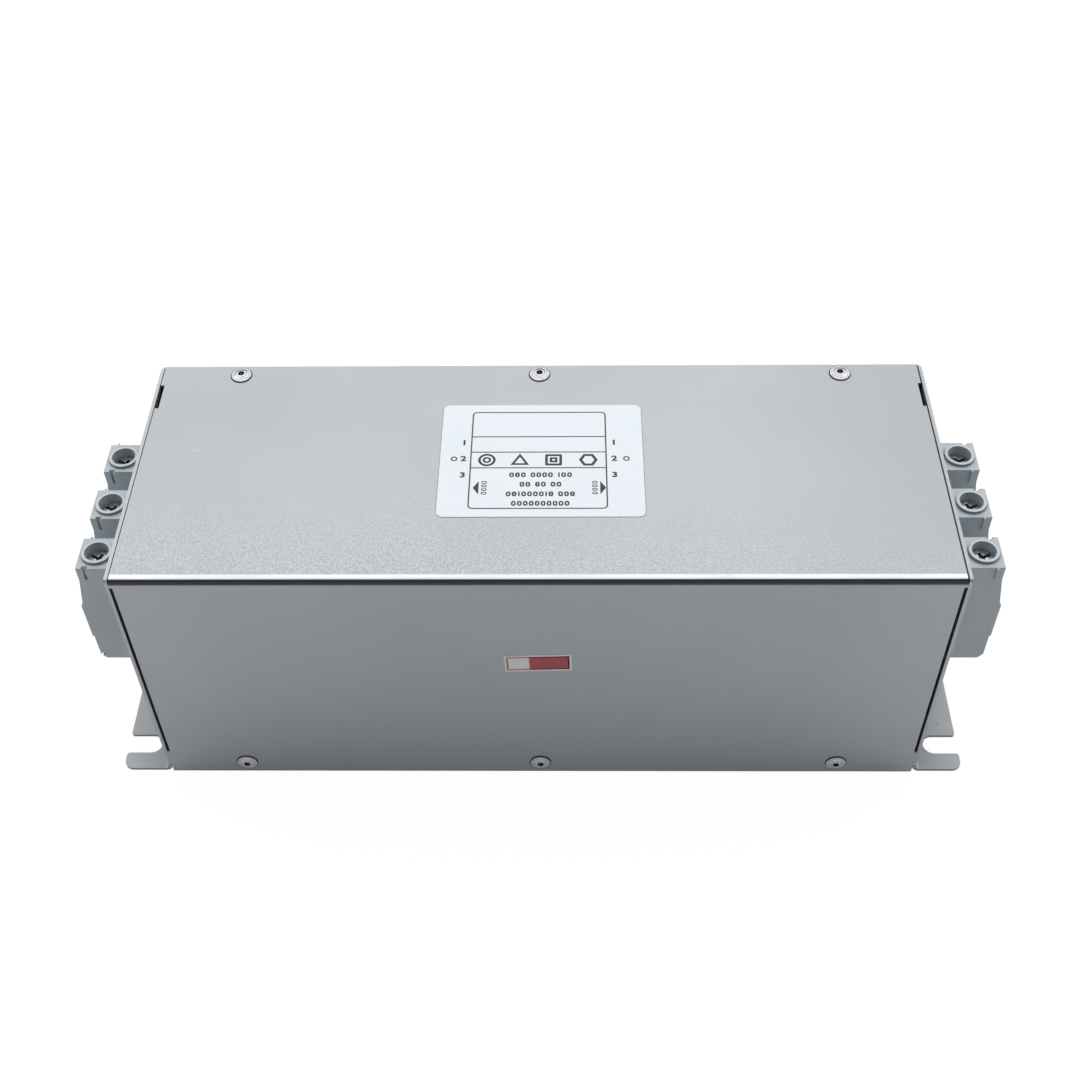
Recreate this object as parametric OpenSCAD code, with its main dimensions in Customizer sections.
// Three-phase EMI line filter for chassis mounting: a folded steel housing with a riveted
// cover, three screw-clamp terminal blocks and an earth stud at each end, and a three-winding
// common-mode choke between two capacitor boards inside.
// The origin is the middle of the mounting plane, +X runs from the line end to the load end
// and -Y is the front. All sizes are in millimetres.

/* [Housing] */
// Length over the outer faces of the end walls
body_length = 240; // [225:1:300]
// Depth from the front panel to the back panel
body_depth = 90; // [84:1:120]
// Height from the mounting plane to the top of the cover
body_height = 94; // [86:1:130]
// Sheet thickness of the chassis
chassis_sheet = 1; // [0.9:0.1:1.5]
// Sheet thickness of the cover
cover_sheet = 1; // [0.8:0.1:1.2]
// Inside radius of the chassis bends
chassis_bend = 0.8; // [0.5:0.1:1.5]
// Inside radius of the cover's long bend
cover_bend = 1.2; // [0.8:0.1:2]
// Gap between the cover's edges and the end walls
seam_gap = 0.2; // [0.15:0.05:0.4]
// Setback of the end walls' front edges behind the front panel
front_setback = 0.5; // [0.3:0.1:0.8]
// Width of the flanges that take the rivets
rivet_flange = 9.6; // [9:0.1:14]

/* [Cover cut-outs] */
// Width of the slit beside the front panel
side_slit = 0.95; // [0.6:0.05:2]
// Height of the slit's lower end above the mounting plane
side_slit_bottom = 11; // [10:0.5:20]
// Length of the notch in the top panel's side edges
hook_notch_length = 10.4; // [6:0.2:14]
// Depth of the notch in the top panel's side edges
hook_notch_depth = 1.2; // [0.8:0.1:2]
// Distance from the back panel to the notch
hook_notch_back = 8.8; // [8:0.2:12]

/* [Mounting feet] */
// Reach of each foot beyond its end wall
foot_reach = 15; // [14:0.5:20]
// Spacing of the slot centres along the length, beyond the body
slot_overhang = 7.5; // [7:0.25:9]
// Spacing of the slots across the depth
slot_spacing = 70; // [60:1:76]
// Width of the open mounting slots
slot_width = 7; // [5.5:0.5:8]
// Radius of the foot's outer corners
foot_corner = 3; // [1:0.5:4]
// Radius at the mouths of the slots
slot_mouth = 0.9; // [0.4:0.1:1.5]
// Inside radius of the bend between end wall and foot
foot_bend = 1.4; // [1:0.1:2]

/* [Rivets] */
// Shank diameter of the blind rivets
rivet_shank = 3.2; // [3:0.1:4]
// Head diameter of the blind rivets
rivet_head = 6.6; // [5.5:0.1:8]
// Height of the rivet heads
rivet_head_height = 1; // [0.6:0.1:1.4]
// Distance of the outer rivets from the middle
rivet_pitch = 94; // [80:1:105]
// Distance of the top rivets from the back panel
top_rivet_back = 4.2; // [4:0.1:6]
// Height of the front rivets above the mounting plane
front_rivet_height = 5.5; // [5:0.1:7]

/* [Terminal blocks] */
// Spacing of the three poles
pole_pitch = 20; // [16:0.5:24]
// Width of one moulded block
block_width = 12; // [12:0.2:14]
// Height of the blocks' top above the mounting plane
block_top = 78; // [76:1:86]
// Height of the blocks' underside above the mounting plane
block_bottom = 35.4; // [33:0.2:38]
// Reach of a block's top beyond the end wall
block_reach = 15.9; // [15.5:0.1:18]
// Extra reach of the wire-entry collar beyond the top
collar_swell = 2.3; // [1.6:0.1:3]
// Step between the collar and the block's foot
collar_step = 0.45; // [0.2:0.05:0.8]
// Height of the wire-entry mouth's centre
entry_height = 53.9; // [52:0.1:56]
// Width of the wire-entry chamber
chamber_width = 9.2; // [9:0.1:10]
// Height of the wire-entry chamber
chamber_height = 14.2; // [14:0.1:16]
// Distance of the screw axis from the end wall
screw_offset = 10.6; // [10:0.1:11]
// Diameter of the screw well
well_diameter = 7.2; // [7.2:0.1:8]
// Width of the raised ring round the well
well_ring = 1; // [0.6:0.1:1.2]
// Height of the raised ring
well_ring_height = 0.9; // [0.5:0.1:1.2]
// Width of the keying tongue and groove between blocks
key_width = 0.8; // [0.7:0.1:1.6]

/* [Clamps] */
// Wall of the rising clamp cage
cage_wall = 1.2; // [1:0.1:1.4]
// Length of the cage along the wire
cage_length = 9.6; // [8:0.1:10]
// Thread diameter of the clamp screws
screw_thread = 6; // [5:0.5:6]
// Head diameter of the clamp screws
screw_head = 6.8; // [6.4:0.1:7]
// Depth of the screw head's face below the well's rim
screw_depth = 3.2; // [2:0.1:6]
// Width of the current bars
bar_width = 6.4; // [5:0.1:6.4]
// Thickness of the current bars
bar_thickness = 2; // [1.5:0.1:2.2]

/* [Earth studs] */
// Thread diameter of the earth studs
stud_diameter = 6; // [5:0.5:8]
// Reach of the studs beyond the end wall
stud_reach = 20; // [18:0.5:24]
// Height of the studs above the mounting plane
stud_height = 20; // [18:0.5:24]

/* [Labels] */
// Length of the rating label
label_length = 60.4; // [40:0.2:80]
// Width of the rating label
label_width = 47; // [30:0.2:60]
// Distance from the front panel to the rating label
label_front = 24.5; // [15:0.5:30]
// Distance of the rating label's centre from the middle, towards the load end
label_offset = 1; // [-10:0.5:10]
// Length of the front sticker
sticker_length = 19.8; // [12:0.1:30]
// Height of the front sticker
sticker_height = 7.5; // [5:0.1:12]
// Height of the front sticker's centre above the mounting plane
sticker_level = 57.5; // [30:0.5:70]
// Thickness of both labels
label_film = 0.12; // [0.1:0.01:0.2]

/* [Choke] */
// Inside diameter of the ring core
core_inside = 42; // [40:1:44]
// Length of the ring core along its axis
core_length = 36; // [24:1:40]
// Wall of the core's plastic case
case_wall = 1.8; // [1.2:0.1:2]
// Diameter of the winding wire
wire_diameter = 4.8; // [4:0.1:4.8]
// Turns in each winding
turns = 5; // [3:1:5]
// Angle between neighbouring turns
turn_angle = 18; // [18:0.5:19]

/* [Boards] */
// Length of each capacitor board
board_length = 58; // [50:1:60]
// Room between each board's long edges and the outside of the housing
board_side_room = 7; // [6.5:0.5:9]
// Thickness of the boards
board_thickness = 1.6; // [1:0.1:2]
// Height of the board spacers
spacer_height = 6; // [5:0.5:8]
// Length of a line-to-line capacitor
capacitor_length = 36; // [30:1:38]
// Width of a line-to-line capacitor
capacitor_width = 20; // [16:1:21]
// Height of a line-to-line capacitor
capacitor_height = 34; // [26:1:36]

/* [Hidden] */
$fn = 48;

// How far a cutting shape runs past the face that it cuts
past = 1;
end_face = body_length / 2;
inner_face = end_face - chassis_sheet;
front_face = -body_depth / 2;
back_face = body_depth / 2;

// Chassis
flap_gap = 0.4;
flap_half = inner_face - flap_gap;
flange_top = body_height - cover_sheet;
lip_front = front_face + cover_sheet;
end_wall_front = front_face + front_setback;
end_wall_corner = 0.8;
foot_relief = 0.6;
foot_back_clearance = 1;
foot_back_gap = chassis_bend + chassis_sheet + foot_back_clearance;

// Cover
cover_half = inner_face - seam_gap;
cover_bottom = 0.3;
slit_to_bend = 0.4;
cover_slit_top = body_height - cover_sheet - cover_bend - slit_to_bend;

// Rivets
rivet_hole = rivet_shank + 0.1;
rivet_rim = 0.3;
rivet_crown_inset = 0.2;
mandrel_bore = 1.9;
rivet_tail_length = 3.4;
rivet_tail = 4.6;

// Terminal blocks, measured outwards from the end wall
shoulder_drop = 5.2;
collar_rim = 0.55;
collar_top = entry_height + chamber_height / 2 + collar_rim;
collar_bottom = entry_height - chamber_height / 2 - collar_rim;
collar_reach = block_reach + collar_swell;
lower_reach = collar_reach - collar_step;
collar_lead = 0.6;
toe_height = 1.9;
toe_length = 1.5;
toe_hole = 0.65;
toe_hole_depth = 3;
chamber_back = 1.6;
well_base = entry_height + chamber_height / 2;
key_depth = 0.9;
key_length = 5;
key_inset = 2.3;
key_centre = block_reach - key_inset;
key_flare = 0.9;
key_inner_flare = 0.3;
key_throat = 1;
key_clearance = 0.15;
spigot_width = 8;
spigot_height = 12;
spigot_reach = 3.6;
spigot_clearance = 0.15;
snap_height = 0.8;
snap_length = 2;
slide_clearance = 0.1;

// Clamps
cage_width = chamber_width - 2 * slide_clearance;
cage_floor = entry_height - chamber_height / 2 + slide_clearance;
cage_roof = well_base - slide_clearance;
cage_cap = 2.6;
cage_lift = 0.3;
bar_top = cage_roof - cage_cap - cage_lift;
bar_level = bar_top - bar_thickness / 2;
bar_setback = 1.4;
bar_outer = collar_reach - bar_setback;
bar_inner = 19;
screw_face = block_top + well_ring_height - screw_depth;
screw_head_height = 2.5;
screw_tip_chamfer = 0.6;
thread_clearance = 0.05;

// Earth studs
stud_collar_rim = 2;
stud_collar = stud_diameter + 2 * stud_collar_rim;
stud_collar_height = 1.3;
washer_height = 1.6;
nut_height = 5;
// an M6 nut measures 10 mm across its flats
nut_across = 10 / 6 * stud_diameter;
washer_diameter = 2 * stud_diameter;
washer_clearance = 0.2;
lock_washer_diameter = nut_across + 0.6;

// Labels
label_corner = 2.6;
sticker_tilt = 2;

// Liner
liner_film = 0.5;
liner_gap = 0.2;
liner_front = lip_front + chassis_sheet + liner_gap;
liner_back = back_face - chassis_sheet - liner_gap;
liner_end_gap = 0.5;
liner_half = inner_face - liner_end_gap;
liner_top_gap = 2;
liner_top = flange_top - chassis_sheet - liner_top_gap;
liner_hole_clearance = 0.5;
floor_top = chassis_sheet + liner_film;

// Choke
// Room that the ring leaves above and below it, and in front of and behind it
core_floor_room = 14;
core_side_room = 12;
core_outside = min(body_height - 2 * core_floor_room, body_depth - 2 * core_side_room);
case_gap = 0.2;
case_outside = core_outside + 2 * (case_gap + case_wall);
case_inside = core_inside - 2 * (case_gap + case_wall);
case_half = core_length / 2 + case_gap + case_wall;
wire_gap = 0.15;
choke_level = body_height / 2;
wind_outside = case_outside / 2 + wire_diameter / 2 + wire_gap;
wind_inside = case_inside / 2 - wire_diameter / 2 - wire_gap;
wind_half = case_half + wire_diameter / 2 + wire_gap;
wire_corner = 0.3 * wire_diameter;
wire_sides = 8;
winding_centres = [210, 90, 330];
lead_straight = 4;
lead_run = 21;
lead_rise_start = wind_half + lead_straight;
lead_rise_end = wind_half + lead_run;
cradle_base_height = 3.5;
cradle_base_length = 36;
cradle_base_width = 38;
cradle_post_length = 32;
cradle_post_width = 11;
saddle_rise = 2;
tie_width = 4.8;
tie_thickness = 1.2;
tie_depth = 3.6;
tie_level = choke_level - case_outside / 2 - tie_depth;
tie_gap = 0.15;

// Boards, measured outwards from the middle
board_width = body_depth - 2 * board_side_room;
bar_end = end_face - bar_inner;
bar_overlap = 8;
board_outer = bar_end + bar_overlap;
board_inner = board_outer - board_length;
board_bottom = chassis_sheet + spacer_height;
board_top = board_bottom + board_thickness;
board_hole_edge = 3.5;
spacer_diameter = 6;
spacer_spigot = 3.6;
board_screw = 3;
board_hole = board_screw + 0.4;
board_screw_head = 5.6;
board_screw_head_height = 2;
board_screw_length = 5;
capacitor_clearance = 0.4;
capacitor_margin = board_hole_edge + board_screw_head / 2 + capacitor_clearance;
capacitor_centre = board_inner + capacitor_margin + capacitor_length / 2;
capacitor_gap = 3;
capacitor_pitch = capacitor_width + capacitor_gap;
capacitor_edge = 1;
pin_diameter = 1;
pin_stick = 1.6;
pin_clearance = 0.15;
pin_inset = 4;
tap_diameter = 1.6;
tap_inset = 2.5;
tap_centre = bar_end + tap_inset;
resistor_diameter = 4;
resistor_length = 11;
resistor_span = 15;
resistor_margin = 4.5;
resistor_centre = capacitor_centre + capacitor_length / 2 + resistor_margin;
resistor_lift = 0.5;
resistor_lead = 0.8;
earth_cap_thickness = 5;
earth_cap_width = 18;
earth_cap_height = 11;
earth_cap_centre = resistor_centre;
earth_lead_diameter = 2;
earth_lead_landing = board_outer - 1.6;
earth_lead_start = 5;
earth_lead_drop = 4;

// ---- shared shapes ------------------------------------------------------------------

// A quarter ring in the first quadrant: a bend of the sheet seen along its bend line
module bend_section(inside, sheet) {
    intersection() {
        difference() {
            circle(r = inside + sheet);
            circle(r = inside);
        }
        square(inside + sheet);
    }
}

// A rectangle with all four corners rounded
module round_rectangle(size, radius) {
    translate([radius, 0])
        square([size.x - 2 * radius, size.y]);
    translate([0, radius])
        square([size.x, size.y - 2 * radius]);
    for (x = [radius, size.x - radius])
        for (y = [radius, size.y - radius])
            translate([x, y])
                circle(r = radius);
}

// Stands a flat outline, drawn in Y and Z, across the X range from x0 to x1
module across(x0, x1) {
    translate([x0, 0, 0])
        rotate([90, 0, 90])
            linear_extrude(height = x1 - x0)
                children();
}

// A shape drawn for the load end, copied to the line end too
module both_ends() {
    for (end = [0, 1])
        mirror([end, 0, 0])
            children();
}

// Places a shape, drawn outwards from the end wall, on pole 1, 2 or 3 of one end
module at_pole(line_end, pole) {
    mirror([line_end ? 1 : 0, 0, 0])
        translate([end_face, pole_y(pole), 0])
            children();
}

function pole_y(pole) = (pole - 2) * pole_pitch;

// Round tube along a path: a ring of points at each stop, turned with the path
function unit(v) = v / norm(v);
function tangent(path, i) =
    i == 0 ? unit(path[1] - path[0]) :
    i == len(path) - 1 ? unit(path[i] - path[i - 1]) :
    unit(unit(path[i + 1] - path[i]) + unit(path[i] - path[i - 1]));
function square_to(v, axis) = unit(v - (v * axis) * axis);
function ring_normals(path, i = 0, seed = [0, 0.1, 1]) =
    i == len(path) ? [] :
    let (normal = square_to(seed, tangent(path, i)))
    concat([normal], ring_normals(path, i + 1, normal));
// Each corner is cut back to two points, so the wire bends instead of folding
function eased(path, cut) = concat(
    [path[0]],
    [for (i = [1:len(path) - 2])
        for (next = [path[i - 1], path[i + 1]])
            path[i] + unit(next - path[i]) * min(cut, norm(next - path[i]) / 3)],
    [path[len(path) - 1]]
);
module tube_along(path, radius, sides) {
    normals = ring_normals(path);
    stops = len(path);
    points = [
        for (i = [0:stops - 1])
            let (axis = tangent(path, i), side = cross(axis, normals[i]))
            for (k = [0:sides - 1])
                path[i] + radius * (cos(360 * k / sides) * normals[i] + sin(360 * k / sides) * side)
    ];
    walls = [
        for (i = [0:stops - 2])
            for (k = [0:sides - 1])
                let (a = i * sides + k, b = i * sides + (k + 1) % sides)
                each [[a, a + sides, b], [b, a + sides, b + sides]]
    ];
    first_cap = [[for (k = [0:sides - 1]) k]];
    last_cap = [[for (k = [sides - 1:-1:0]) (stops - 1) * sides + k]];
    polyhedron(points, concat(first_cap, walls, last_cap), convexity = 10);
}

// ---- housing ------------------------------------------------------------------------

// Back panel and both end walls, seen from above: one strip folded round the back corners
module wall_plan() {
    outer = chassis_bend + chassis_sheet;
    translate([-end_face + outer, back_face - chassis_sheet])
        square([body_length - 2 * outer, chassis_sheet]);
    for (end = [0, 1])
        mirror([end, 0]) {
            translate([inner_face, end_wall_front])
                square([chassis_sheet, back_face - outer - end_wall_front]);
            translate([end_face - outer, back_face - outer])
                bend_section(chassis_bend, chassis_sheet);
        }
}

// Bottom, front lip and top flange, folded from the back panel, seen from the load end
module flap_section() {
    outer = chassis_bend + chassis_sheet;
    translate([lip_front + outer, 0])
        square([back_face - lip_front - 2 * outer, chassis_sheet]);
    translate([lip_front, outer])
        square([chassis_sheet, rivet_flange + chassis_sheet - outer]);
    translate([lip_front + outer, outer])
        rotate(180)
            bend_section(chassis_bend, chassis_sheet);
    translate([back_face - outer, outer])
        rotate(270)
            bend_section(chassis_bend, chassis_sheet);
    translate([back_face - chassis_sheet, outer])
        square([chassis_sheet, flange_top - 2 * outer]);
    translate([back_face - outer, flange_top - outer])
        bend_section(chassis_bend, chassis_sheet);
    translate([back_face - rivet_flange, flange_top - chassis_sheet])
        square([rivet_flange - outer, chassis_sheet]);
}

// Foot with its bend, seen from the front; it leaves the end wall outwards
module foot_section() {
    rise = foot_bend + chassis_sheet;
    translate([end_face + foot_bend, rise])
        rotate(180)
            bend_section(foot_bend, chassis_sheet);
    translate([end_face + foot_bend, 0])
        square([foot_reach - foot_bend, chassis_sheet]);
}

// Outline of one foot's plate from above, with rounded outer corners and open slots
module foot_plan() {
    back_end = back_face - foot_back_gap;
    difference() {
        union() {
            translate([inner_face, end_wall_front])
                square([chassis_sheet + foot_reach - foot_corner, back_end - end_wall_front]);
            translate([inner_face, end_wall_front + foot_corner])
                square([chassis_sheet + foot_reach, back_end - end_wall_front - 2 * foot_corner]);
            for (y = [end_wall_front + foot_corner, back_end - foot_corner])
                translate([end_face + foot_reach - foot_corner, y])
                    circle(r = foot_corner);
        }
        for (side = [-1, 1])
            translate([end_face, side * slot_spacing / 2])
                slot_cut();
    }
}

// Open mounting slot with eased mouth corners
module slot_cut() {
    translate([slot_overhang, 0])
        circle(d = slot_width);
    translate([slot_overhang, -slot_width / 2])
        square([foot_reach - slot_overhang + past, slot_width]);
    difference() {
        translate([foot_reach - slot_mouth, -slot_width / 2 - slot_mouth])
            square([slot_mouth + past, slot_width + 2 * slot_mouth]);
        for (side = [-1, 1])
            translate([foot_reach - slot_mouth, side * (slot_width / 2 + slot_mouth)])
                circle(r = slot_mouth);
        // keeps the plate in front of and behind the eased corner
        for (side = [0, 1])
            mirror([0, side])
                translate([foot_reach - slot_mouth - past, slot_width / 2 + slot_mouth])
                    square([past + slot_mouth, past]);
    }
}

// The chassis is one sheet: back, bottom, end walls, feet and the two rivet flanges
module chassis() {
    wall_bottom = chassis_sheet + foot_bend;
    color([0.66, 0.68, 0.69])
        difference() {
            union() {
                difference() {
                    translate([0, 0, wall_bottom])
                        linear_extrude(height = body_height - wall_bottom)
                            wall_plan();
                    flange_bend_cut();
                }
                across(-flap_half + chassis_bend, flap_half - chassis_bend)
                    flap_section();
                both_ends()
                    intersection() {
                        translate([0, back_face - foot_back_gap, 0])
                            rotate([90, 0, 0])
                                linear_extrude(height = body_depth)
                                    foot_section();
                        linear_extrude(height = wall_bottom + past)
                            foot_plan();
                    }
            }
            both_ends() {
                end_wall_corner_cut();
                foot_relief_cut();
                for (pole = [1:3])
                    spigot_cut(pole);
                stud_hole_cut();
            }
            cover_seat_cut();
            both_ends()
                back_relief_cut();
            for (x = [-rivet_pitch, 0, rivet_pitch]) {
                translate([x, back_face - top_rivet_back, flange_top - chassis_sheet - past])
                    cylinder(d = rivet_hole, h = chassis_sheet + 2 * past);
                translate([x, lip_front - past, front_rivet_height])
                    rotate([-90, 0, 0])
                        cylinder(d = rivet_hole, h = chassis_sheet + 2 * past);
            }
            board_holes(chassis_sheet, spacer_spigot / 2);
        }
}

// Eases the end wall's top front corner, beside the cover's bend
module end_wall_corner_cut() {
    translate([inner_face - past, end_wall_front, body_height])
        rotate([0, 90, 0])
            linear_extrude(height = chassis_sheet + 2 * past)
                difference() {
                    translate([-past, -past])
                        square(end_wall_corner + past);
                    translate([end_wall_corner, end_wall_corner])
                        circle(r = end_wall_corner);
                }
}

// Punched relief where the foot's bend starts at the front edge
module foot_relief_cut() {
    translate([inner_face - past, end_wall_front, chassis_sheet + foot_bend])
        rotate([0, 90, 0])
            cylinder(r = foot_relief, h = chassis_sheet + 2 * past);
}

// The back panel ends where the top flange's bend begins
module flange_bend_cut() {
    outer = chassis_bend + chassis_sheet;
    translate([-flap_half + chassis_bend, back_face - outer, flange_top - outer])
        cube([2 * (flap_half - chassis_bend), outer + past, outer + cover_sheet + past]);
}

// Lets the cover's back edge lie over the back panel, between the end walls
module cover_seat_cut() {
    outer = chassis_bend + chassis_sheet;
    translate([-inner_face, back_face - outer, flange_top])
        cube([2 * inner_face, outer + past, cover_sheet + past]);
}

// Corner relief between the top flange and the end wall's bend
module back_relief_cut() {
    outer = chassis_bend + chassis_sheet;
    translate([flap_half - chassis_bend, back_face - outer, flange_top - outer])
        cube([chassis_bend, outer + past, outer + past]);
}

// Window for a terminal block's spigot
module spigot_cut(pole) {
    width = spigot_width + 2 * spigot_clearance;
    height = spigot_height + 2 * spigot_clearance;
    translate([inner_face - past, pole_y(pole) - width / 2, bar_level - height / 2])
        cube([chassis_sheet + 2 * past, width, height]);
}

module stud_hole_cut() {
    translate([inner_face - past, 0, stud_height])
        rotate([0, 90, 0])
            cylinder(d = stud_diameter + 2 * thread_clearance, h = chassis_sheet + 2 * past);
}

// The cover is one sheet: top and front, with one long bend between them
module cover() {
    outer = cover_bend + cover_sheet;
    color([0.75, 0.77, 0.78])
        difference() {
            across(-cover_half, cover_half) {
                translate([front_face + outer, body_height - cover_sheet])
                    square([body_depth - outer, cover_sheet]);
                translate([front_face, cover_bottom])
                    square([cover_sheet, body_height - outer - cover_bottom]);
                translate([front_face + outer, body_height - outer])
                    rotate(90)
                        bend_section(cover_bend, cover_sheet);
            }
            both_ends() {
                translate([cover_half - side_slit, front_face - past, side_slit_bottom])
                    cube([side_slit + past, cover_sheet + 2 * past, cover_slit_top - side_slit_bottom]);
                translate([
                    cover_half - hook_notch_depth,
                    back_face - hook_notch_back - hook_notch_length,
                    body_height - cover_sheet - past
                ])
                    cube([hook_notch_depth + past, hook_notch_length, cover_sheet + 2 * past]);
            }
            for (x = [-rivet_pitch, 0, rivet_pitch]) {
                translate([x, back_face - top_rivet_back, body_height - cover_sheet - past])
                    cylinder(d = rivet_hole, h = cover_sheet + 2 * past);
                translate([x, front_face - past, front_rivet_height])
                    rotate([-90, 0, 0])
                        cylinder(d = rivet_hole, h = cover_sheet + 2 * past);
            }
        }
}

// Blind rivet with its head's underside at z = 0 and its tail below the sheets
module blind_rivet(grip) {
    dome = (pow(rivet_head / 2, 2) + pow(rivet_head_height, 2)) / (2 * rivet_head_height);
    difference() {
        union() {
            cylinder(d = rivet_head, h = rivet_rim);
            translate([0, 0, rivet_rim])
                intersection() {
                    translate([0, 0, rivet_head_height - rivet_rim - dome])
                        sphere(r = dome);
                    cylinder(d = rivet_head - 2 * rivet_crown_inset, h = rivet_head_height);
                }
            translate([0, 0, -grip])
                cylinder(d = rivet_shank, h = grip);
            translate([0, 0, -grip - rivet_tail_length])
                cylinder(d = rivet_tail, h = rivet_tail_length);
        }
        translate([0, 0, -grip])
            cylinder(d = mandrel_bore, h = grip + rivet_head_height + past);
    }
}

// Three rivets through the cover's top and the chassis flange
module top_rivets() {
    color([0.86, 0.87, 0.88])
        for (x = [-rivet_pitch, 0, rivet_pitch])
            translate([x, back_face - top_rivet_back, body_height])
                blind_rivet(cover_sheet + chassis_sheet);
}

// Three rivets through the front panel and the chassis lip
module front_rivets() {
    color([0.86, 0.87, 0.88])
        for (x = [-rivet_pitch, 0, rivet_pitch])
            translate([x, front_face, front_rivet_height])
                rotate([90, 0, 0])
                    blind_rivet(cover_sheet + chassis_sheet);
}

module rating_label() {
    color([0.93, 0.95, 0.97])
        translate([label_offset - label_length / 2, front_face + label_front, body_height])
            linear_extrude(height = label_film)
                round_rectangle([label_length, label_width], label_corner);
}

module front_sticker() {
    color([0.6, 0.2, 0.22])
        translate([0, front_face, sticker_level])
            rotate([90, 0, 0])
                rotate(sticker_tilt)
                    translate([-sticker_length / 2, -sticker_height / 2, 0])
                        linear_extrude(height = label_film)
                            square([sticker_length, sticker_height]);
}

// ---- terminal blocks ----------------------------------------------------------------

// Side outline of the moulding: straight top, flared flank, wire collar and plain toe
module block_outline() {
    polygon([
        [0, block_bottom],
        [lower_reach - toe_length, block_bottom],
        [lower_reach, block_bottom + toe_height],
        [lower_reach, collar_bottom],
        [collar_reach, collar_bottom + collar_step / 2],
        [collar_reach, collar_top - collar_lead],
        [collar_reach - collar_lead, collar_top],
        [block_reach, block_top - shoulder_drop],
        [block_reach, block_top],
        [0, block_top]
    ]);
}

// One moulded block: a hollow tower with a wire mouth, a screw well and a snap-in spigot
module terminal_block() {
    tongue = key_width - 2 * key_clearance;
    color([0.76, 0.79, 0.81])
        difference() {
            union() {
                translate([0, block_width / 2, 0])
                    rotate([90, 0, 0])
                        linear_extrude(height = block_width)
                            block_outline();
                translate([screw_offset, 0, block_top])
                    cylinder(d = well_diameter + 2 * well_ring, h = well_ring_height);
                spigot();
                translate([key_centre - tongue / 2, block_width / 2, block_top - key_length])
                    cube([tongue, key_depth - key_clearance, key_length]);
            }
            translate([screw_offset, 0, well_base - past])
                cylinder(d = well_diameter, h = block_top + well_ring_height - well_base + 2 * past);
            translate([chamber_back, -chamber_width / 2, entry_height - chamber_height / 2])
                cube([collar_reach, chamber_width, chamber_height]);
            translate([-chassis_sheet - spigot_reach - past, -bar_width / 2 - slide_clearance,
                       bar_level - bar_thickness / 2 - slide_clearance])
                cube([
                    chamber_back + chassis_sheet + spigot_reach + 2 * past,
                    bar_width + 2 * slide_clearance,
                    bar_thickness + 2 * slide_clearance
                ]);
            key_groove();
            translate([lower_reach - toe_length / 2, -block_width / 2 - past, block_bottom + toe_height])
                rotate([-90, 0, 0])
                    cylinder(r = toe_hole, h = toe_hole_depth + past);
        }
}

// Snap-in spigot that goes through the end wall and carries the current bar
module spigot() {
    reach = chassis_sheet + spigot_reach;
    translate([-reach, -spigot_width / 2, bar_level - spigot_height / 2])
        cube([reach, spigot_width, spigot_height]);
    for (side = [0, 1])
        translate([0, 0, bar_level])
            mirror([0, 0, side])
                translate([0, spigot_width / 2, 0])
                    rotate([90, 0, 0])
                        linear_extrude(height = spigot_width)
                            polygon([
                                [-chassis_sheet - slide_clearance, spigot_height / 2],
                                [-chassis_sheet - slide_clearance, spigot_height / 2 + snap_height],
                                [-chassis_sheet - slide_clearance - snap_length, spigot_height / 2]
                            ]);
}

// Keying groove on the front side with a flared mouth; the tongue behind the next block
// would enter it where blocks stand side by side
module key_groove() {
    translate([key_centre, -block_width / 2, 0]) {
        translate([-key_width / 2, -past, block_top - key_length])
            cube([key_width, key_depth + past, key_length + past]);
        translate([0, key_depth, block_top])
            rotate([90, 0, 0])
                linear_extrude(height = key_depth + past)
                    polygon([
                        [-key_width / 2 - key_flare, past],
                        [-key_width / 2 - key_flare, 0],
                        [-key_width / 2, -key_throat],
                        [key_width / 2, -key_throat],
                        [key_width / 2 + key_inner_flare, 0],
                        [key_width / 2 + key_inner_flare, past]
                    ]);
    }
}

// Rising cage: a folded square tube whose thick roof is threaded for the screw
module clamp_cage() {
    color([0.72, 0.73, 0.72])
        translate([screw_offset - cage_length / 2, -cage_width / 2, cage_floor])
            difference() {
                cube([cage_length, cage_width, cage_roof - cage_floor]);
                translate([-past, cage_wall, cage_wall])
                    cube([
                        cage_length + 2 * past,
                        cage_width - 2 * cage_wall,
                        cage_roof - cage_floor - cage_wall - cage_cap
                    ]);
                translate([cage_length / 2, cage_width / 2, cage_roof - cage_floor - cage_cap - past])
                    cylinder(d = screw_thread + 2 * thread_clearance, h = cage_cap + 2 * past);
            }
}

// Clamp screw with a combined slot and cross recess, backed off to its open position
module clamp_screw() {
    shank_start = bar_top + screw_tip_chamfer;
    screw_tip = screw_thread - 2 * screw_tip_chamfer;
    edge = 0.35;
    slot = 1.1;
    recess = 1.3;
    cross_recess = 1.8;
    cross_length = 4;
    color([0.78, 0.79, 0.78])
        translate([screw_offset, 0, 0])
            difference() {
                union() {
                    translate([0, 0, screw_face - screw_head_height])
                        cylinder(d = screw_head, h = screw_head_height - edge);
                    translate([0, 0, screw_face - edge])
                        cylinder(d1 = screw_head, d2 = screw_head - 2 * edge, h = edge);
                    translate([0, 0, shank_start])
                        cylinder(d = screw_thread, h = screw_face - screw_head_height - shank_start);
                    translate([0, 0, bar_top])
                        cylinder(d1 = screw_tip, d2 = screw_thread, h = screw_tip_chamfer);
                }
                rotate(25) {
                    translate([-screw_head, -slot / 2, screw_face - recess])
                        cube([2 * screw_head, slot, recess + past]);
                    translate([-slot / 2, -cross_length / 2, screw_face - cross_recess])
                        cube([slot, cross_length, cross_recess + past]);
                    translate([-cross_length / 2, -slot / 2, screw_face - cross_recess])
                        cube([cross_length, slot, cross_recess + past]);
                }
            }
}

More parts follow.
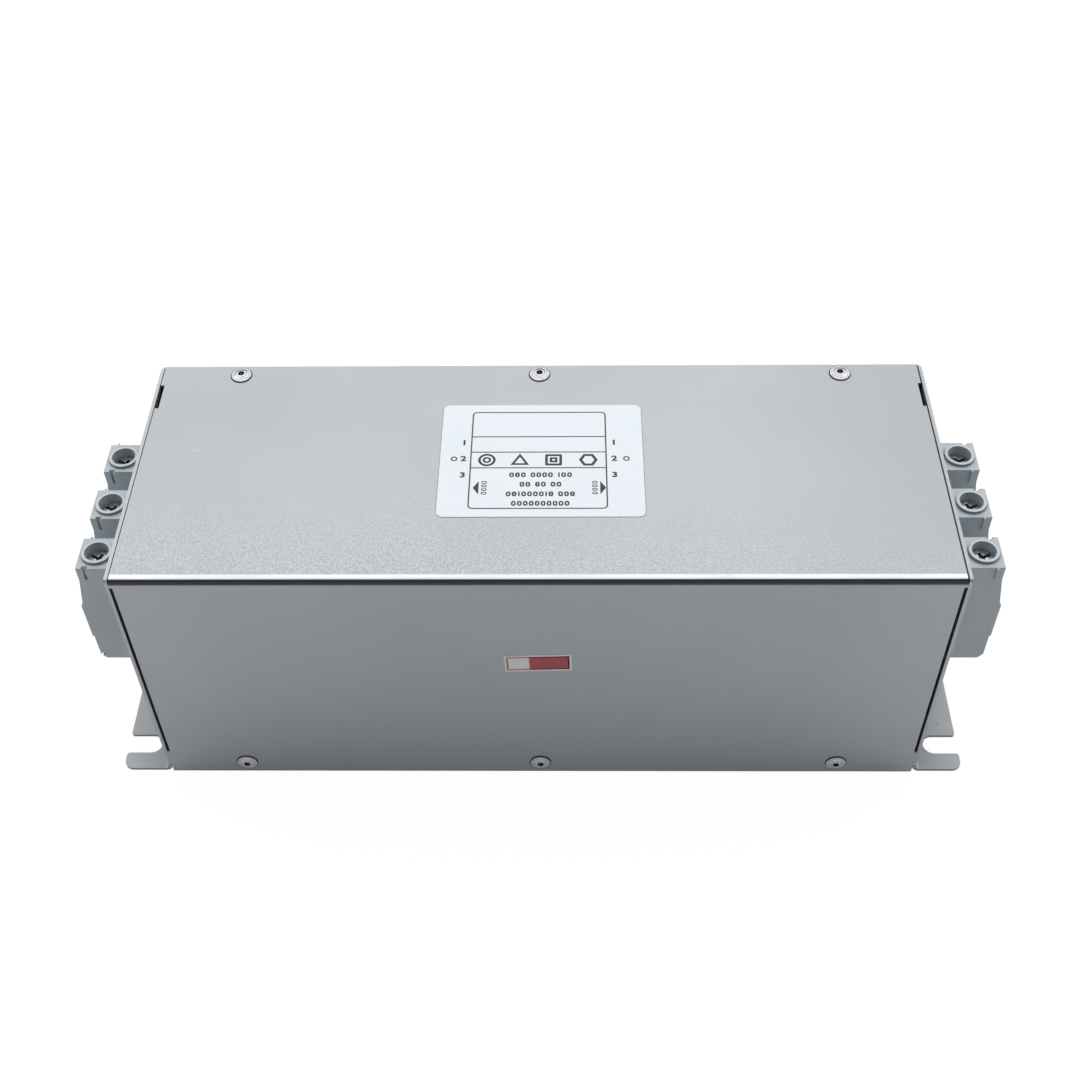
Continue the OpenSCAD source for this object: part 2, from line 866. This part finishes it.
// Copper bar from the clamp, through the spigot, to the winding inside
module current_bar() {
    color([0.8, 0.75, 0.68])
        translate([-bar_inner, -bar_width / 2, bar_top - bar_thickness])
            cube([bar_inner + bar_outer, bar_width, bar_thickness]);
}

// ---- earth studs --------------------------------------------------------------------

// Places a part of the stud set on the axis of the stud, with z = 0 on the end wall
module on_stud() {
    both_ends()
        translate([end_face, 0, stud_height])
            rotate([0, 90, 0])
                children();
}

module earth_studs() {
    tip = 0.8;
    color([0.8, 0.74, 0.5])
        on_stud() {
            translate([0, 0, -chassis_sheet - stud_collar_height])
                cylinder(d = stud_collar, h = stud_collar_height);
            translate([0, 0, -chassis_sheet])
                cylinder(d = stud_diameter, h = chassis_sheet + stud_reach - tip);
            translate([0, 0, stud_reach - tip])
                cylinder(d1 = stud_diameter, d2 = stud_diameter - 2 * tip, h = tip);
        }
}

module earth_washers() {
    color([0.8, 0.8, 0.78])
        on_stud()
            difference() {
                cylinder(d = washer_diameter, h = washer_height);
                translate([0, 0, -past])
                    cylinder(d = stud_diameter + 2 * washer_clearance, h = washer_height + 2 * past);
            }
}

// Spring lock washers, split at a slant
module earth_lock_washers() {
    split = 0.7;
    color([0.7, 0.7, 0.68])
        on_stud()
            translate([0, 0, washer_height])
                difference() {
                    cylinder(d = lock_washer_diameter, h = washer_height);
                    translate([0, 0, -past])
                        cylinder(d = stud_diameter + 2 * washer_clearance, h = washer_height + 2 * past);
                    translate([0, 0, washer_height / 2])
                        rotate([0, 25, 0])
                            translate([-split / 2, stud_diameter / 4, -washer_height - past])
                                cube([split, nut_across, 2 * (washer_height + past)]);
                }
}

module earth_nuts() {
    corner = nut_across / cos(30);
    bevel = 0.6;
    color([0.82, 0.82, 0.8])
        on_stud()
            translate([0, 0, 2 * washer_height])
                difference() {
                    intersection() {
                        cylinder(d = corner, h = nut_height, $fn = 6);
                        union() {
                            cylinder(d1 = corner - 2 * bevel, d2 = corner, h = bevel / 2);
                            translate([0, 0, bevel / 2])
                                cylinder(d = corner, h = nut_height - bevel);
                            translate([0, 0, nut_height - bevel / 2])
                                cylinder(d1 = corner, d2 = corner - 2 * bevel, h = bevel / 2);
                        }
                    }
                    translate([0, 0, -past])
                        cylinder(d = stud_diameter + 2 * thread_clearance, h = nut_height + 2 * past);
                }
}

// ---- insulation ---------------------------------------------------------------------

// Folded black film between the live parts and the front, the bottom and the back
module insulating_liner() {
    outer = chassis_bend + liner_film;
    color([0.08, 0.08, 0.09])
        difference() {
            across(-liner_half, liner_half) {
                translate([liner_front + outer, chassis_sheet])
                    square([liner_back - liner_front - 2 * outer, liner_film]);
                translate([liner_front, chassis_sheet + outer])
                    square([liner_film, liner_top - chassis_sheet - outer]);
                translate([liner_back - liner_film, chassis_sheet + outer])
                    square([liner_film, liner_top - chassis_sheet - outer]);
                translate([liner_front + outer, chassis_sheet + outer])
                    rotate(180)
                        bend_section(chassis_bend, liner_film);
                translate([liner_back - outer, chassis_sheet + outer])
                    rotate(270)
                        bend_section(chassis_bend, liner_film);
            }
            board_holes(floor_top, spacer_diameter / 2 + liner_hole_clearance);
            // clears the tails of the rivets in the front lip
            for (x = [-rivet_pitch, 0, rivet_pitch])
                translate([x, liner_front - past, front_rivet_height])
                    rotate([-90, 0, 0])
                        cylinder(d = rivet_tail + 2 * liner_hole_clearance, h = liner_film + 2 * past);
        }
}

// ---- choke --------------------------------------------------------------------------

// Places a ring-shaped part with its axis along X through the choke's centre
module on_choke_axis() {
    translate([0, 0, choke_level])
        rotate([0, 90, 0])
            children();
}

module choke_core() {
    color([0.3, 0.31, 0.33])
        on_choke_axis()
            difference() {
                cylinder(d = core_outside, h = core_length, center = true);
                cylinder(d = core_inside, h = core_length + 2 * past, center = true);
            }
}

// Case cup: both walls and the line-side end
module core_case_cup() {
    color([0.16, 0.17, 0.18])
        on_choke_axis()
            difference() {
                translate([0, 0, -case_half])
                    cylinder(d = case_outside, h = 2 * case_half - case_wall);
                translate([0, 0, -case_half - past])
                    cylinder(d = case_inside, h = 2 * case_half + 2 * past);
                translate([0, 0, -case_half + case_wall])
                    difference() {
                        cylinder(d = case_outside - 2 * case_wall, h = 2 * case_half);
                        translate([0, 0, -past])
                            cylinder(d = case_inside + 2 * case_wall, h = 2 * case_half + 2 * past);
                    }
            }
}

// Case lid: the load-side end, with a rim that drops into the cup
module core_case_lid() {
    rim_height = 0.16;
    rim_inset = 0.1;
    color([0.16, 0.17, 0.18])
        on_choke_axis()
            difference() {
                union() {
                    translate([0, 0, case_half - case_wall])
                        cylinder(d = case_outside, h = case_wall);
                    translate([0, 0, case_half - case_wall - rim_height])
                        cylinder(d = case_outside - 2 * (case_wall + rim_inset), h = rim_height);
                }
                translate([0, 0, case_half - case_wall - past])
                    cylinder(d = case_inside, h = case_wall + 2 * past);
                translate([0, 0, case_half - case_wall - past])
                    cylinder(d = case_inside + 2 * (case_wall + rim_inset), h = past);
            }
}

// A point at this angle, radius and place along the choke's axis
function wind_point(angle, radius, x) =
    [x, radius * cos(angle), choke_level + radius * sin(angle)];

// The wire comes in on the line side, passes through the ring once a turn and leaves on
// the load side; each run outside the ring is half a turn angle from the run inside it
function winding_path(pole) =
    let (
        centre = winding_centres[pole - 1],
        first = centre - turn_angle * turns / 2,
        line_start = wind_point(first, wind_outside, -lead_rise_start),
        load_end = wind_point(first + turn_angle * turns, wind_outside, lead_rise_start)
    )
    concat(
        [[-bar_end, pole_y(pole), bar_level]],
        [[-lead_rise_end, pole_y(pole), bar_level]],
        [line_start],
        [for (i = [0:turns - 1])
            let (out = first + i * turn_angle, within = out + turn_angle / 2)
            each [
                if (i > 0) wind_point(out, wind_outside, -wind_half),
                wind_point(out, wind_outside, wind_half),
                wind_point(within, wind_inside, wind_half),
                wind_point(within, wind_inside, -wind_half)
            ]],
        [wind_point(first + turn_angle * turns, wind_outside, -wind_half)],
        [load_end],
        [[lead_rise_end, pole_y(pole), bar_level]],
        [[bar_end, pole_y(pole), bar_level]]
    );

module choke_winding(pole) {
    color([0.72, 0.42, 0.22])
        tube_along(eased(winding_path(pole), wire_corner), wire_diameter / 2, wire_sides);
}

// Moulded cradle: a base on the floor and a saddle under the ring's case
module choke_cradle() {
    saddle_top = choke_level - case_outside / 2 + saddle_rise;
    color([0.85, 0.84, 0.8])
        difference() {
            union() {
                translate([-cradle_base_length / 2, -cradle_base_width / 2, floor_top])
                    cube([cradle_base_length, cradle_base_width, cradle_base_height]);
                translate([-cradle_post_length / 2, -cradle_post_width / 2, floor_top])
                    cube([cradle_post_length, cradle_post_width, saddle_top - floor_top]);
            }
            on_choke_axis()
                cylinder(d = case_outside, h = cradle_post_length + 2 * past, center = true);
            translate([-cradle_post_length / 2 - past, -tie_width / 2 - tie_gap, tie_level - tie_gap])
                cube([
                    cradle_post_length + 2 * past,
                    tie_width + 2 * tie_gap,
                    tie_thickness + 2 * tie_gap
                ]);
        }
}

// Nylon tie through the ring and the cradle's tunnel
module choke_tie() {
    bore_floor = sqrt(pow(case_inside / 2, 2) - pow(tie_width / 2, 2));
    loop_top = choke_level - bore_floor + tie_gap;
    half = case_half + tie_gap;
    color([0.9, 0.9, 0.88])
        translate([0, tie_width / 2, 0])
            rotate([90, 0, 0])
                linear_extrude(height = tie_width)
                    difference() {
                        translate([-half - tie_thickness, tie_level])
                            square([2 * (half + tie_thickness), loop_top + tie_thickness - tie_level]);
                        translate([-half, tie_level + tie_thickness])
                            square([2 * half, loop_top - tie_level - tie_thickness]);
                    }
}

// ---- boards -------------------------------------------------------------------------

// The four screw places of each board, as x and y, on the load side
function board_fixings() = [
    for (x = [board_inner + board_hole_edge, board_outer - board_hole_edge])
        for (y = [-1, 1])
            [x, y * (board_width / 2 - board_hole_edge)]
];

module at_board_fixings() {
    both_ends()
        for (place = board_fixings())
            translate([place.x, place.y, 0])
                children();
}

// Round holes under all board fixings, up to this height
module board_holes(top, radius) {
    at_board_fixings()
        translate([0, 0, -past])
            cylinder(r = radius, h = top + 2 * past);
}

// Where the capacitor pins pass through a board
function capacitor_pins() = [
    for (pole = [1:3])
        for (end = [-1, 1])
            [capacitor_centre + end * (capacitor_length / 2 - pin_inset), (pole - 2) * capacitor_pitch]
];

module board_blank() {
    color([0.16, 0.38, 0.22])
        difference() {
            translate([board_inner, -board_width / 2, board_bottom])
                cube([board_length, board_width, board_thickness]);
            for (place = board_fixings())
                translate([place.x, place.y, board_bottom - past])
                    cylinder(d = board_hole, h = board_thickness + 2 * past);
            for (place = capacitor_pins())
                translate([place.x, place.y, board_bottom - past])
                    cylinder(d = pin_diameter + 2 * pin_clearance, h = board_thickness + 2 * past);
            for (pole = [1:3])
                translate([tap_centre, pole_y(pole), board_bottom - past])
                    cylinder(d = tap_diameter + 2 * pin_clearance, h = board_thickness + 2 * past);
            children();
        }
}

module line_board() {
    mirror([1, 0, 0])
        board_blank()
            for (pole = [1:3])
                for (end = [-1, 1])
                    translate([
                        resistor_centre,
                        (pole - 2) * capacitor_pitch + end * resistor_span / 2,
                        board_bottom - past
                    ])
                        cylinder(d = resistor_lead + 2 * pin_clearance, h = board_thickness + 2 * past);
}

module load_board() {
    board_blank()
        for (end = [-1, 1])
            translate([earth_cap_centre, end * (earth_cap_width / 2 - pin_inset), board_bottom - past])
                cylinder(d = pin_diameter + 2 * pin_clearance, h = board_thickness + 2 * past);
}

// Threaded spacers, pressed into the chassis floor
module board_spacers() {
    color([0.75, 0.75, 0.73])
        at_board_fixings()
            difference() {
                union() {
                    cylinder(d = spacer_spigot, h = chassis_sheet);
                    translate([0, 0, chassis_sheet])
                        cylinder(d = spacer_diameter, h = spacer_height);
                }
                translate([0, 0, board_bottom - board_screw_length])
                    cylinder(d = board_screw + 2 * thread_clearance, h = board_screw_length + past);
            }
}

module board_screws() {
    slot = 0.8;
    color([0.78, 0.78, 0.76])
        at_board_fixings()
            difference() {
                union() {
                    translate([0, 0, board_top - board_screw_length])
                        cylinder(d = board_screw, h = board_screw_length);
                    translate([0, 0, board_top])
                        cylinder(d = board_screw_head, h = board_screw_head_height);
                }
                translate([-board_screw_head, -slot / 2, board_top + board_screw_head_height - slot])
                    cube([2 * board_screw_head, slot, slot + past]);
            }
}

// Boxed film capacitor on two pins, standing on small moulded feet
module capacitor(pole) {
    foot = 0.4;
    color([0.2, 0.34, 0.6])
        translate([capacitor_centre, (pole - 2) * capacitor_pitch, board_top]) {
            translate([-capacitor_length / 2, -capacitor_width / 2, foot])
                linear_extrude(height = capacitor_height - foot)
                    round_rectangle([capacitor_length, capacitor_width], capacitor_edge);
            for (end = [-1, 1]) {
                translate([end * (capacitor_length - pin_inset) / 2, 0, foot / 2])
                    cube([pin_inset, capacitor_width - 2 * capacitor_edge, foot], center = true);
                translate([end * (capacitor_length / 2 - pin_inset), 0, -board_thickness - pin_stick])
                    cylinder(d = pin_diameter, h = board_thickness + pin_stick + foot);
            }
        }
}

module line_capacitor(pole) {
    mirror([1, 0, 0])
        capacitor(pole);
}

// Boxed capacitor between the star point and earth
module earth_capacitor() {
    color([0.25, 0.42, 0.68])
        translate([earth_cap_centre, 0, board_top]) {
            translate([-earth_cap_thickness / 2, -earth_cap_width / 2, 0])
                linear_extrude(height = earth_cap_height)
                    round_rectangle([earth_cap_thickness, earth_cap_width], capacitor_edge);
            for (end = [-1, 1])
                translate([0, end * (earth_cap_width / 2 - pin_inset), -board_thickness - pin_stick])
                    cylinder(d = pin_diameter, h = board_thickness + pin_stick);
        }
}

// Axial resistors that discharge the line capacitors
module discharge_resistors() {
    axis_level = board_top + resistor_lift + resistor_diameter / 2;
    color([0.55, 0.62, 0.66])
        for (pole = [1:3])
            translate([-resistor_centre, (pole - 2) * capacitor_pitch, 0]) {
                translate([0, -resistor_length / 2, axis_level])
                    rotate([-90, 0, 0])
                        cylinder(d = resistor_diameter, h = resistor_length);
                translate([0, -resistor_span / 2, axis_level])
                    rotate([-90, 0, 0])
                        cylinder(d = resistor_lead, h = resistor_span);
                for (end = [-1, 1])
                    translate([0, end * resistor_span / 2, board_bottom - pin_stick])
                        cylinder(d = resistor_lead, h = axis_level - board_bottom + pin_stick);
            }
}

// Straight wires from the current bars down to a board
module tap_wires() {
    color([0.75, 0.5, 0.3])
        for (pole = [1:3])
            translate([tap_centre, pole_y(pole), board_bottom - pin_stick])
                cylinder(d = tap_diameter, h = bar_top - bar_thickness - board_bottom + pin_stick);
}

module line_tap_wires() {
    mirror([1, 0, 0])
        tap_wires();
}

module load_tap_wires() {
    tap_wires();
}

// Green and yellow lead from the load-end stud to the load board
module earth_lead() {
    stud_inside = inner_face - stud_collar_height;
    color([0.35, 0.6, 0.25])
        tube_along(
            eased([
                [stud_inside, 0, stud_height],
                [stud_inside - earth_lead_start, 0, stud_height],
                [earth_lead_landing, 0, stud_height - earth_lead_drop],
                [earth_lead_landing, 0, board_top]
            ], earth_lead_diameter),
            earth_lead_diameter / 2,
            wire_sides
        );
}

// ---- nodes --------------------------------------------------------------------------

module terminal_block_line_1() { at_pole(true, 1) terminal_block(); }
module terminal_block_line_2() { at_pole(true, 2) terminal_block(); }
module terminal_block_line_3() { at_pole(true, 3) terminal_block(); }
module terminal_block_load_1() { at_pole(false, 1) terminal_block(); }
module terminal_block_load_2() { at_pole(false, 2) terminal_block(); }
module terminal_block_load_3() { at_pole(false, 3) terminal_block(); }
module clamp_cage_line_1() { at_pole(true, 1) clamp_cage(); }
module clamp_cage_line_2() { at_pole(true, 2) clamp_cage(); }
module clamp_cage_line_3() { at_pole(true, 3) clamp_cage(); }
module clamp_cage_load_1() { at_pole(false, 1) clamp_cage(); }
module clamp_cage_load_2() { at_pole(false, 2) clamp_cage(); }
module clamp_cage_load_3() { at_pole(false, 3) clamp_cage(); }
module clamp_screw_line_1() { at_pole(true, 1) clamp_screw(); }
module clamp_screw_line_2() { at_pole(true, 2) clamp_screw(); }
module clamp_screw_line_3() { at_pole(true, 3) clamp_screw(); }
module clamp_screw_load_1() { at_pole(false, 1) clamp_screw(); }
module clamp_screw_load_2() { at_pole(false, 2) clamp_screw(); }
module clamp_screw_load_3() { at_pole(false, 3) clamp_screw(); }
module current_bar_line_1() { at_pole(true, 1) current_bar(); }
module current_bar_line_2() { at_pole(true, 2) current_bar(); }
module current_bar_line_3() { at_pole(true, 3) current_bar(); }
module current_bar_load_1() { at_pole(false, 1) current_bar(); }
module current_bar_load_2() { at_pole(false, 2) current_bar(); }
module current_bar_load_3() { at_pole(false, 3) current_bar(); }

chassis();
cover();
top_rivets();
front_rivets();
rating_label();
front_sticker();
terminal_block_line_1();
terminal_block_line_2();
terminal_block_line_3();
terminal_block_load_1();
terminal_block_load_2();
terminal_block_load_3();
clamp_cage_line_1();
clamp_cage_line_2();
clamp_cage_line_3();
clamp_cage_load_1();
clamp_cage_load_2();
clamp_cage_load_3();
clamp_screw_line_1();
clamp_screw_line_2();
clamp_screw_line_3();
clamp_screw_load_1();
clamp_screw_load_2();
clamp_screw_load_3();
current_bar_line_1();
current_bar_line_2();
current_bar_line_3();
current_bar_load_1();
current_bar_load_2();
current_bar_load_3();
earth_studs();
earth_washers();
earth_lock_washers();
earth_nuts();
insulating_liner();
choke_core();
core_case_cup();
core_case_lid();
choke_winding(1);  // choke_winding_1
choke_winding(2);  // choke_winding_2
choke_winding(3);  // choke_winding_3
choke_cradle();
choke_tie();
line_board();
load_board();
board_spacers();
board_screws();
line_capacitor(1);  // line_capacitor_1
line_capacitor(2);  // line_capacitor_2
line_capacitor(3);  // line_capacitor_3
capacitor(1);  // load_capacitor_1
capacitor(2);  // load_capacitor_2
capacitor(3);  // load_capacitor_3
earth_capacitor();
discharge_resistors();
line_tap_wires();
load_tap_wires();
earth_lead();
